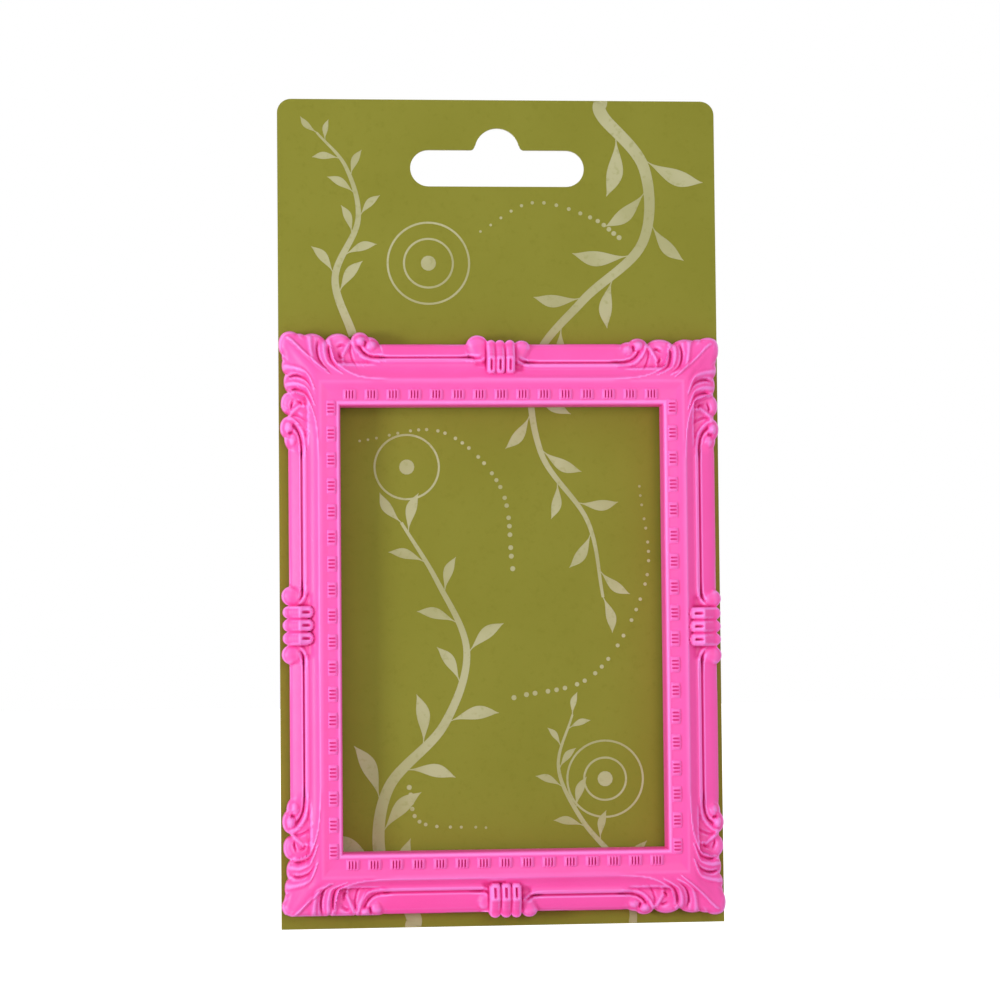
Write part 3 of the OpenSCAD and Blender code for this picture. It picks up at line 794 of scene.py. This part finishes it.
def half_rail(rail, other, settings):
    """Rows of points of half a rail: across and up from the corner tips, height above the back."""
    places, channel = columns_of(rail, settings)
    shares = front_shares()
    turn = SLANT_END[rail.side]
    lam = np.clip((places - TIP_START) / (turn - TIP_START), 0, 1)[:, None]
    own_start = other.outline(np.array([TIP_START]))[0]
    first = np.where(places > turn, places, own_start + lam[:, 0] * (turn - own_start))
    later = smooth(*OUTLINE_FADE, places)
    outline = rail.outline(places) * (1 - later) + rail.outline(first) * later
    follows = shares < OUTLINE_SHARE
    t = np.minimum(shares / OUTLINE_SHARE, 1.0)
    start_in = outline[:, None]
    at_end = rail.inset + OUTLINE_SHARE * rail.width
    inward = np.where(follows, start_in + t * (at_end - start_in), rail.inset + shares * rail.width)
    mitre_end = other.inset + OUTLINE_SHARE * other.width
    mitre = np.where(follows, own_start + t * (mitre_end - own_start), other.inset + shares * other.width)
    along = mitre + lam * (turn - mitre)
    along = np.where(places[:, None] > turn, places[:, None], along)
    height = front_heights(rail, other, along, inward)

    deep = settings.rebate_depth / MM
    wall = rail.width - settings.rebate_width / MM
    side_wall = other.width - settings.rebate_width / MM
    broad = settings.channel_width / MM
    far, other_far = rail.channel, other.channel
    edge, other_edge = far - broad, other_far - broad
    sunk = settings.channel_depth / MM
    in_channel = (np.arange(len(places)) >= channel).astype(float)
    rows = [
        (rail.width, other.width, deep + EDGE_ROW, 0), (rail.width, other.width, deep, 0),
        (wall, side_wall, deep, 0), (wall, side_wall, 0.0, 0),
        (far, other_far, 0.0, 1), (far, other_far, sunk, 2), (edge, other_edge, sunk, 2), (edge, other_edge, 0.0, 1),
    ]
    for reach, side_reach, level, kind in rows:
        line_in = np.full(len(places), rail.inset + reach)
        corner_at = other.inset + side_reach
        if kind:
            hold = places[channel]
            end = [hold - END_START, hold - END_RUN, hold]
            out = np.interp(places, [TIP_START, *end], [corner_at, *end])
            out = np.where(places > hold, places, out)
        else:
            out = np.where(places > turn, places, corner_at + lam[:, 0] * (turn - corner_at))
        tall = np.full(len(places), level) if kind < 2 else level * in_channel + HAIR * (1 - in_channel)
        along = np.column_stack([along, out])
        inward = np.column_stack([inward, line_in])
        height = np.column_stack([height, tall])
    for level, pull in ((0.0, BACK_PULL), (EDGE_ROW, 0.0)):
        along = np.column_stack([along, first + pull * (1 - later)])
        inward = np.column_stack([inward, outline + pull])
        height = np.column_stack([height, np.full(len(places), level)])
    return along, inward, height


def moulding_points(settings):
    """All columns of the closed ring, clockwise from the upper left mitre."""
    parts = []
    for horizontal, start, end in (
        ("top", (-1, 1), (1, 1)), ("side", (1, 1), (1, -1)), ("bottom", (1, -1), (-1, -1)), ("side", (-1, -1), (-1, 1)),
    ):
        for corner, backwards in ((start, False), (end, True)):
            across = "top" if corner[1] > 0 else "bottom"
            rail = Rail(settings, horizontal, corner)
            other = Rail(settings, across if rail.side else "side", corner)
            along, inward, height = half_rail(rail, other, settings)
            x = corner[0] * ((rail.line - inward) if rail.side else (rail.centre - along))
            z = corner[1] * ((rail.centre - along) if rail.side else (rail.line - inward))
            points = np.stack([x, -settings.back / MM - height, z], axis=-1)
            points = points[::-1] if backwards else points
            parts.append(points[:-1])
    return np.concatenate(parts)


def standing(points, front, reach):
    """How far each place of the front stands over its surroundings, this many mesh steps around, mm."""
    height = -points[:, :front, 1]
    around = np.zeros_like(height)
    steps = range(-reach, reach + 1)
    for dx in steps:
        moved = np.roll(height, dx, axis=0)
        for dy in steps:
            around += moved[:, np.clip(np.arange(front) + dy, 0, front - 1)]
    result = np.zeros(points.shape[:2])
    result[:, :front] = height - around / len(steps) ** 2
    return result


def mark(mesh, name, values):
    layer = mesh.attributes.new(name, "FLOAT", "POINT")
    layer.data.foreach_set("value", np.asarray(values).ravel().astype(np.float32))


class PHOTOFRAME_OT_moulding(bpy.types.Operator):
    """Sculpt the scrolled moulding of the frame"""

    bl_idname = "photoframe.moulding"
    bl_label = "Moulding"
    bl_options = {"REGISTER", "UNDO"}

    def execute(self, context):
        settings = context.scene.photoframe_moulding
        points = moulding_points(settings)
        columns, rows = points.shape[:2]
        index = np.arange(columns * rows).reshape(columns, rows)
        ahead = np.roll(index, -1, axis=0)
        faces = np.stack(
            [index, np.roll(index, -1, axis=1), np.roll(ahead, -1, axis=1), ahead], axis=-1
        ).reshape(-1, 4)
        piece = new_piece(
            "scrolled_moulding", points.reshape(-1, 3), faces.tolist(), "frame", "neon_plastic", 48
        )
        front = len(front_shares())
        # Painted shade where the front sinks below its surroundings, and a painted highlight where it stands over them,
        # both stored for the neon finish.
        mark(piece.data, "hollow", np.clip((-standing(points, front, 4) - 0.08) / 0.55, 0, 1) * 0.8)
        mark(piece.data, "ridge", np.clip((standing(points, front, 2) - 0.02) / 0.1, 0, 1))
        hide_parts("frame_moulding")
        return {"FINISHED"}


# Tablets


def tablet_mesh(settings, width, reach):
    """One softly domed block, centred, with short slits along the middle of its length."""
    columns, rows = 33, 13
    u = np.linspace(-1, 1, columns)[:, None]
    w = np.sin(np.linspace(-1, 1, rows) * math.pi / 2)[None, :]
    rise = settings.rise / MM
    squareness, slit_half, slit_depth = 3.2, 0.1, 0.42
    domes = [np.sqrt(np.clip(1 - np.abs(place) ** squareness, 0, 1)) for place in (u, w)]
    dome = domes[0] * domes[1]
    places = settings.slit_pitch / MM * np.arange(-1, 2)
    slits = sum(np.exp(-(((u * width / 2 - place) / slit_half) ** 2)) for place in places)
    across = 1 - smooth(settings.slit / MM / 2 - 0.12, settings.slit / MM / 2 + 0.12, np.abs(w) * reach / 2)
    height = rise * (0.12 + 0.88 * dome) - slit_depth * np.clip(slits, 0, 1) * across * (dome > 0)
    x, y = np.broadcast_arrays(u * width / 2, w * reach / 2)
    top = np.stack([x, y, height], axis=-1).reshape(-1, 3)
    foot = top * (1, 1, 0)
    index = np.arange(columns * rows).reshape(columns, rows)
    quads = np.stack([index[:-1, :-1], index[1:, :-1], index[1:, 1:], index[:-1, 1:]], axis=-1).reshape(-1, 4)
    rim = np.concatenate([index[:, 0], index[-1, 1:], index[-2::-1, -1], index[0, -2:0:-1]])
    following = np.roll(rim, -1)
    walls = np.stack([rim, rim + len(top), following + len(top), following], axis=-1)[:, ::-1]
    faces = [*quads.tolist(), *(quads[:, ::-1] + len(top)).tolist(), *walls.tolist()]
    mesh = bpy.data.meshes.new("tablet")
    mesh.from_pydata((np.concatenate([top, foot]) * MM).tolist(), [], faces)
    mesh.update()
    # Painted shade in the slits and a painted highlight on the tablet's top, stored for the neon finish.
    hollow = np.zeros(2 * len(top))
    hollow[: len(top)] = (np.clip(slits, 0, 1) * across).ravel()
    mark(mesh, "hollow", hollow)
    mark(mesh, "ridge", (1 - hollow) * 0.45 * (np.arange(2 * len(top)) < len(top)))
    return mesh


def tablet_nodes():
    """A node group that sets the tablet along the four rails."""
    tree = bpy.data.node_groups.new("tablet_rows", "GeometryNodeTree")
    tree.is_modifier = True
    sockets = {"Geometry": "NodeSocketGeometry", "Finish": "NodeSocketMaterial"}
    for name in ("Across", "Down"):
        sockets[name] = "NodeSocketInt"
    for name in ("Pitch Across", "Pitch Down", "Row Across", "Row Down", "Shift Across"):
        sockets[name] = "NodeSocketFloat"
    sockets["Side Scale"] = "NodeSocketVector"
    keys = {n: tree.interface.new_socket(name=n, in_out="INPUT", socket_type=k).identifier for n, k in sockets.items()}
    tree.interface.new_socket(name="Geometry", in_out="OUTPUT", socket_type="NodeSocketGeometry")
    given = add_node(tree, "NodeGroupInput").outputs
    joined = add_node(tree, "GeometryNodeJoinGeometry")

    def result(operation, *values):
        return add_node(tree, "ShaderNodeMath", {"operation": operation}, dict(enumerate(values))).outputs[0]

    for rail in range(4):
        side = rail % 2
        sign = 1.0 if rail < 2 else -1.0
        count, pitch, row = [("Across", "Pitch Across", "Row Across"), ("Down", "Pitch Down", "Row Down")][side]
        back = result("MULTIPLY", result("SUBTRACT", given[count], 1.0), given[pitch])
        start = result("MULTIPLY_ADD", back, -0.5, 0.0 if side else given["Shift Across"])
        off = result("MULTIPLY", given[row], sign)
        run, across = ("Y", "X") if side else ("X", "Y")
        first = add_node(tree, "ShaderNodeCombineXYZ", (), {run: start, across: off}).outputs[0]
        step = add_node(tree, "ShaderNodeCombineXYZ", (), {run: given[pitch]}).outputs[0]
        inputs = {"Count": given[count], "Start Location": first, "Offset": step}
        line = add_node(tree, "GeometryNodeMeshLine", {"mode": "OFFSET"}, inputs).outputs[0]
        inputs = {"Points": line, "Instance": given["Geometry"], "Rotation": (0.0, 0.0, math.pi / 2 * side)}
        if side:
            inputs["Scale"] = given["Side Scale"]
        placed = add_node(tree, "GeometryNodeInstanceOnPoints", (), inputs).outputs[0]
        tree.links.new(placed, joined.inputs[0])
    real = add_node(tree, "GeometryNodeRealizeInstances", (), {0: joined.outputs[0]})
    coat = add_node(tree, "GeometryNodeSetMaterial", (), {"Geometry": real.outputs[0], "Material": given["Finish"]})
    add_node(tree, "NodeGroupOutput", (), {0: coat.outputs[0]})
    return tree, keys


class PHOTOFRAME_OT_tablets(bpy.types.Operator):
    """Set the fluted tablets in the channel beside the window"""

    bl_idname = "photoframe.tablets"
    bl_label = "Tablets"
    bl_options = {"REGISTER", "UNDO"}

    def execute(self, context):
        settings = context.scene.photoframe_tablets
        moulding = context.scene.photoframe_moulding
        width = settings.pitch_across * settings.fill
        scale = (settings.pitch_down / settings.pitch_across, settings.reach_down / settings.reach_across, 1.0)
        carrier = placed("tablet_carrier", tablet_mesh(settings, width / MM, settings.reach_across / MM))
        tree, keys = tablet_nodes()
        rows = carrier.modifiers.new("rows", "NODES")
        rows.node_group = tree
        rows[keys["Finish"]] = finish_of("neon_plastic")
        rows[keys["Side Scale"]] = scale
        for name in ("Across", "Down", "Pitch Across", "Pitch Down", "Row Across", "Row Down", "Shift Across"):
            rows[keys[name]] = getattr(settings, name.lower().replace(" ", "_"))
        graph = context.evaluated_depsgraph_get()
        made = bpy.data.meshes.new_from_object(carrier.evaluated_get(graph))
        bpy.data.objects.remove(carrier)
        # The tablets beside the window keep only part of the painted shade in their slits.
        beside = np.zeros(3 * len(made.vertices))
        made.vertices.foreach_get("co", beside)
        slits = np.zeros(len(made.vertices))
        made.attributes["hollow"].data.foreach_get("value", slits)
        slits[np.abs(beside[::3]) > moulding.window_across] *= settings.side_slit_shade
        made.attributes["hollow"].data.foreach_set("value", slits)
        level = -(moulding.back + settings.base)
        made.transform(Matrix(((1, 0, 0, 0), (0, 0, -1, level), (0, 1, 0, 0), (0, 0, 0, 1))))
        piece = placed("fluted_tablets", made)
        made.shade_smooth()
        made.set_sharp_from_angle(angle=math.radians(40))
        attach(piece, "frame")
        return {"FINISHED"}


# Card print


class Ink:
    """Collects thin closed prisms lying on the card's front."""

    def __init__(self, thickness, face=-0.5):
        self.verts = []
        self.faces = []
        self.face = face
        self.thickness = thickness
        self.back = face + 0.01

    @property
    def front(self):
        """Each form lies a hair over the one before, so that no two faces coincide."""
        self.thickness += 0.00005
        return self.face - self.thickness

    def strip(self, left, right, closed=False):
        """A ribbon between two rows of points, seen from the front with the left row on the left."""
        base, count, front, back = len(self.verts), len(left), self.front, self.back - self.thickness / 4
        for (lx, lz), (rx, rz) in zip(left, right):
            self.verts += [(lx, front, lz), (rx, front, rz), (lx, back, lz), (rx, back, rz)]
        for i in range(count if closed else count - 1):
            a = base + 4 * i
            b = base + 4 * ((i + 1) % count)
            self.faces += [
                [a, a + 1, b + 1, b], [a + 2, b + 2, b + 3, a + 3],
                [a, b, b + 2, a + 2], [a + 1, a + 3, b + 3, b + 1],
            ]
        if not closed:
            end = base + 4 * (count - 1)
            self.faces += [[base, base + 2, base + 3, base + 1], [end, end + 1, end + 3, end + 2]]

    def stem(self, points, start, end):
        line = through(points, 12)
        run = np.gradient(line, axis=0)
        side = np.stack([-run[:, 1], run[:, 0]], axis=1) / np.hypot(run[:, 0], run[:, 1])[:, None]
        share = np.linspace(0, 1, len(line))[:, None]
        half = (start + (end - start) * share) / 2
        self.strip((line + side * half).tolist(), (line - side * half).tolist())
        return line, side

    def leaf(self, x, z, angle, length, width, curl=0.12):
        steps = 18
        left, right = [], []
        for i in range(steps + 1):
            t = i / steps
            half = max(width / 2 * math.sin(math.pi * t**1.25) ** 1.3, 0.07 * (1 - t) + 0.02)
            along, off = t * length, curl * length * math.sin(math.pi * t * 0.8)
            for side, store in ((1, left), (-1, right)):
                px, pz = along, off + side * half
                store.append(
                    (x + px * math.cos(angle) - pz * math.sin(angle), z + px * math.sin(angle) + pz * math.cos(angle))
                )
        self.strip(left, right)

    def dot(self, x, z, radius):
        turn = np.linspace(0, 2 * math.pi, 14, endpoint=False)
        base, count = len(self.verts), len(turn)
        for level in (self.front, self.back - self.thickness / 4):
            self.verts += [(x + radius * math.cos(a), level, z + radius * math.sin(a)) for a in turn]
        self.faces += [list(range(base, base + count)), list(range(base + count, base + 2 * count))[::-1]]
        for i in range(count):
            j = (i + 1) % count
            self.faces.append([base + i, base + count + i, base + count + j, base + j])

    def ring(self, x, z, radius, width):
        turn = np.linspace(0, 2 * math.pi, 60, endpoint=False)
        outer = [(x + (radius + width / 2) * math.cos(a), z + (radius + width / 2) * math.sin(a)) for a in turn]
        inner = [(x + (radius - width / 2) * math.cos(a), z + (radius - width / 2) * math.sin(a)) for a in turn]
        self.strip(inner, outer, closed=True)


# Leafy sprays as (line, start width, end width, leaf scale, first leaf share)
SPRAYS = [
    ([(18.0, 90.7), (18.4, 88.0), (25.5, 79.0), (25.0, 66.0), (14.5, 56.0), (6.0, 45.0), (7.0, 30.0),
      (15.0, 18.0), (17.5, 5.0)], 2.4, 0.5, 1.0, 0.05),
    ([(-15.5, -50.55), (-15.8, -48.0), (-21.0, -39.0), (-19.5, -27.0), (-10.0, -16.5), (-6.0, -4.0),
      (-11.0, 8.0), (-17.0, 18.0)], 2.8, 0.5, 1.0, 0.05),
    ([(-25.0, 50.0), (-28.0, 60.0), (-24.0, 70.0), (-26.0, 79.0), (-31.0, 85.0)], 1.5, 0.35, 0.62, 0.14),
    ([(22.0, -50.55), (21.9, -48.0), (20.0, -41.0), (13.5, -33.0), (9.5, -24.0), (12.0, -15.0)], 1.4, 0.35, 0.62, 0.16),
]
# Rings as (across, up, radius), the spots inside them, and trails of dots as (line, count)
RINGS = [(-12.0, 62.5, 7.0), (-12.0, 62.5, 4.2), (-16.0, 27.5, 5.5), (17.5, -26.0, 6.5), (17.5, -26.0, 3.6)]
SPOTS = [(-12.0, 62.5), (-16.0, 27.5), (17.5, -26.0)]
TRAILS = [
    ([(-3.0, 68.0), (6.0, 73.0), (16.0, 70.5), (21.0, 67.0)], 16),
    ([(-24.0, 32.0), (-10.0, 33.5), (0.0, 24.0), (2.0, 10.0)], 26),
    ([(24.0, 24.0), (25.0, 8.0), (16.0, -8.0), (2.0, -12.0)], 26),
    ([(-3.0, -34.0), (-14.0, -33.0), (-16.0, -27.0)], 12),
]


class PHOTOFRAME_OT_card_print(bpy.types.Operator):
    """Print leafy sprays, rings and dots on the card"""

    bl_idname = "photoframe.card_print"
    bl_label = "Card Print"
    bl_options = {"REGISTER", "UNDO"}

    def execute(self, context):
        settings = context.scene.photoframe_print
        luck = np.random.default_rng(settings.seed)
        ink = Ink(settings.ink / MM)
        for line, start, end, scale, first in SPRAYS:
            path, side = ink.stem(line, start, end)
            length = np.concatenate([[0], np.cumsum(np.hypot(*np.diff(path, axis=0).T))])
            places = np.arange(first * length[-1] + 2.0, length[-1] - 1.0, 5.8 * scale)
            for number, place in enumerate(places):
                at = np.searchsorted(length, place)
                share = place / length[-1]
                hand = 1 if number % 2 else -1
                run = math.atan2(-side[at][0], side[at][1])
                size = settings.leaf / MM * scale * (1 - 0.4 * share) * luck.uniform(0.85, 1.1)
                angle = run + hand * luck.uniform(0.8, 1.05)
                root = path[at] + side[at] * hand * (start + (end - start) * share) * 0.4
                ink.leaf(*root, angle, size, size * 0.27, -0.12 * hand)
            run = math.atan2(-side[-1][0], side[-1][1])
            ink.leaf(*path[-1], run, settings.leaf / MM * scale * 0.6, 1.7 * scale)
        for x, z, radius in RINGS:
            ink.ring(x, z, radius, 0.35)
        for line, count in TRAILS:
            path = through(line, 20)
            for at in np.linspace(0, len(path) - 1, count).astype(int):
                ink.dot(*path[at], 0.22 + 0.22 * at / len(path))
        for x, z in SPOTS:
            ink.dot(x, z, 1.3)
        new_piece("leaf_print", ink.verts, ink.faces, "card", "card_ink")
        return {"FINISHED"}


class PHOTOFRAME_OT_finishes(bpy.types.Operator):
    """Give the carried parts their finishes"""

    bl_idname = "photoframe.finishes"
    bl_label = "Finishes"
    bl_options = {"REGISTER", "UNDO"}

    def execute(self, context):
        kinds = {
            "hang_card": "olive_board",
            "magnet_strip": "speckled_rubber",
            "strip_tape": "fibre_tape",
            "glue_dot": "milky_glue",
            "frame_moulding": "neon_plastic",
        }
        for name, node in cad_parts.items():
            finish = next(value for start, value in kinds.items() if name.startswith(start))
            node.data.materials.clear()
            node.data.materials.append(finish_of(finish))
        return {"FINISHED"}


# Stage


def white_to_camera(tree, lit):
    """A world shader that the camera and reflections see as plain white, and that lights as the given one."""
    path = add_node(tree, "ShaderNodeLightPath").outputs
    seen = Field(tree, path["Is Camera Ray"]).math("MAXIMUM", path["Is Glossy Ray"])
    seen = seen.math("MAXIMUM", path["Is Transmission Ray"])
    white = add_node(tree, "ShaderNodeBackground", (), {"Color": (1.0, 1.0, 1.0, 1.0), "Strength": 1.0})
    return add_node(tree, "ShaderNodeMixShader", (), {0: seen, 1: lit.outputs[0], 2: white.outputs[0]})


def aim(obj, place, target):
    obj.location = place
    obj.rotation_euler = (Vector(target) - Vector(place)).to_track_quat("-Z", "Y").to_euler()


class PHOTOFRAME_OT_stage(bpy.types.Operator):
    """Set the floor, the lamps, the surroundings and the camera"""

    bl_idname = "photoframe.stage"
    bl_label = "Stage"
    bl_options = {"REGISTER", "UNDO"}

    def execute(self, context):
        settings = context.scene.photoframe_stage
        self.world(context, settings)
        self.floor()
        self.lamps(settings)
        self.camera(context, settings)
        context.scene.view_settings.view_transform = "Standard"
        return {"FINISHED"}

    def world(self, context, settings):
        world = bpy.data.worlds.new("surroundings")
        world.use_nodes = True
        tree = world.node_tree
        tree.nodes.clear()
        lit = add_node(
            tree, "ShaderNodeBackground", (), {"Color": (1.0, 1.0, 1.0, 1.0), "Strength": settings.ambient}
        )
        shown = white_to_camera(tree, lit)
        add_node(tree, "ShaderNodeOutputWorld", (), {"Surface": shown.outputs[0]})
        context.scene.world = world

    def floor(self):
        mesh = bpy.data.meshes.new("floor")
        size, level = 1.2, CAD_BOX[0][2] - 0.0012
        corners = [(-size, -size, level), (size, -size, level), (size, size, level), (-size, size, level)]
        mesh.from_pydata(corners, [], [(0, 1, 2, 3)])
        floor = placed("floor", mesh)
        material = bpy.data.materials.new("pale_floor")
        material.use_nodes = True
        tree = material.node_tree
        shader = tree.nodes["Principled BSDF"]
        shader.inputs["Base Color"].default_value = (0.86, 0.86, 0.86, 1.0)
        shader.inputs["Roughness"].default_value = 0.9
        path = add_node(tree, "ShaderNodeLightPath")
        seen = Field(tree, path.outputs["Is Camera Ray"])
        glow = add_node(tree, "ShaderNodeEmission", (), {"Strength": seen * 0.8})
        both = add_node(tree, "ShaderNodeAddShader", (), {0: shader.outputs[0], 1: glow.outputs[0]})
        plug(tree, tree.nodes["Material Output"].inputs["Surface"], both.outputs[0])
        mesh.materials.append(material)

    def lamps(self, settings):
        lamps = {
            "key": ((-0.47, -0.32, 0.0), settings.key_power, 0.14),
            "fill": ((0.1, -0.51, 0.1), settings.fill_power, 0.2),
        }
        for name, (place, power, size) in lamps.items():
            lamp = bpy.data.lights.new(name, "AREA")
            lamp.energy = power
            lamp.size = size
            aim(placed(name, lamp), place, settings.target)

    def camera(self, context, settings):
        az, el, roll = settings.azimuth, settings.elevation, settings.roll
        back = Vector((math.sin(az) * math.cos(el), -math.cos(az) * math.cos(el), math.sin(el)))
        right = Vector((math.cos(az), math.sin(az), 0.0))
        up = back.cross(right)
        turned = right * math.cos(roll) + up * math.sin(roll)
        raised = up * math.cos(roll) - right * math.sin(roll)
        camera = bpy.data.cameras.new("camera")
        camera.lens = settings.lens
        camera.sensor_width = 36.0
        camera.clip_start = 0.01
        holder = placed("camera", camera)
        turn = Matrix((turned, raised, back)).transposed().to_4x4()
        place = Vector(settings.target) + back * settings.distance
        holder.matrix_world = Matrix.Translation(place) @ turn
        context.scene.camera = holder


class PHOTOFRAME_PT_panel(bpy.types.Panel):
    """Sidebar panel of the photo frame"""

    bl_idname = "PHOTOFRAME_PT_panel"
    bl_label = "Photo Frame"
    bl_space_type = "VIEW_3D"
    bl_region_type = "UI"
    bl_category = "Photo Frame"

    def draw(self, context):
        layout = self.layout
        for operator in OPERATORS:
            layout.operator(operator.bl_idname)
        for name, group in GROUPS.items():
            box = layout.box()
            box.label(text=group.__doc__)
            settings = getattr(context.scene, name)
            for prop in group.__annotations__:
                box.prop(settings, prop)


GROUPS = {
    "photoframe_moulding": MouldingSettings,
    "photoframe_tablets": TabletSettings,
    "photoframe_print": PrintSettings,
    "photoframe_stage": StageSettings,
}
OPERATORS = (
    PHOTOFRAME_OT_moulding,
    PHOTOFRAME_OT_tablets,
    PHOTOFRAME_OT_card_print,
    PHOTOFRAME_OT_finishes,
    PHOTOFRAME_OT_stage,
)


def register():
    for cls in (*GROUPS.values(), *OPERATORS, PHOTOFRAME_PT_panel):
        bpy.utils.register_class(cls)
    for name, group in GROUPS.items():
        setattr(bpy.types.Scene, name, bpy.props.PointerProperty(type=group))


def unregister():
    for name in GROUPS:
        delattr(bpy.types.Scene, name)
    for cls in (PHOTOFRAME_PT_panel, *reversed(OPERATORS), *reversed(GROUPS.values())):
        bpy.utils.unregister_class(cls)


def main():
    register()
    for operator in OPERATORS:
        group, name = operator.bl_idname.split(".")
        getattr(getattr(bpy.ops, group), name)()


if __name__ == "__main__":
    main()
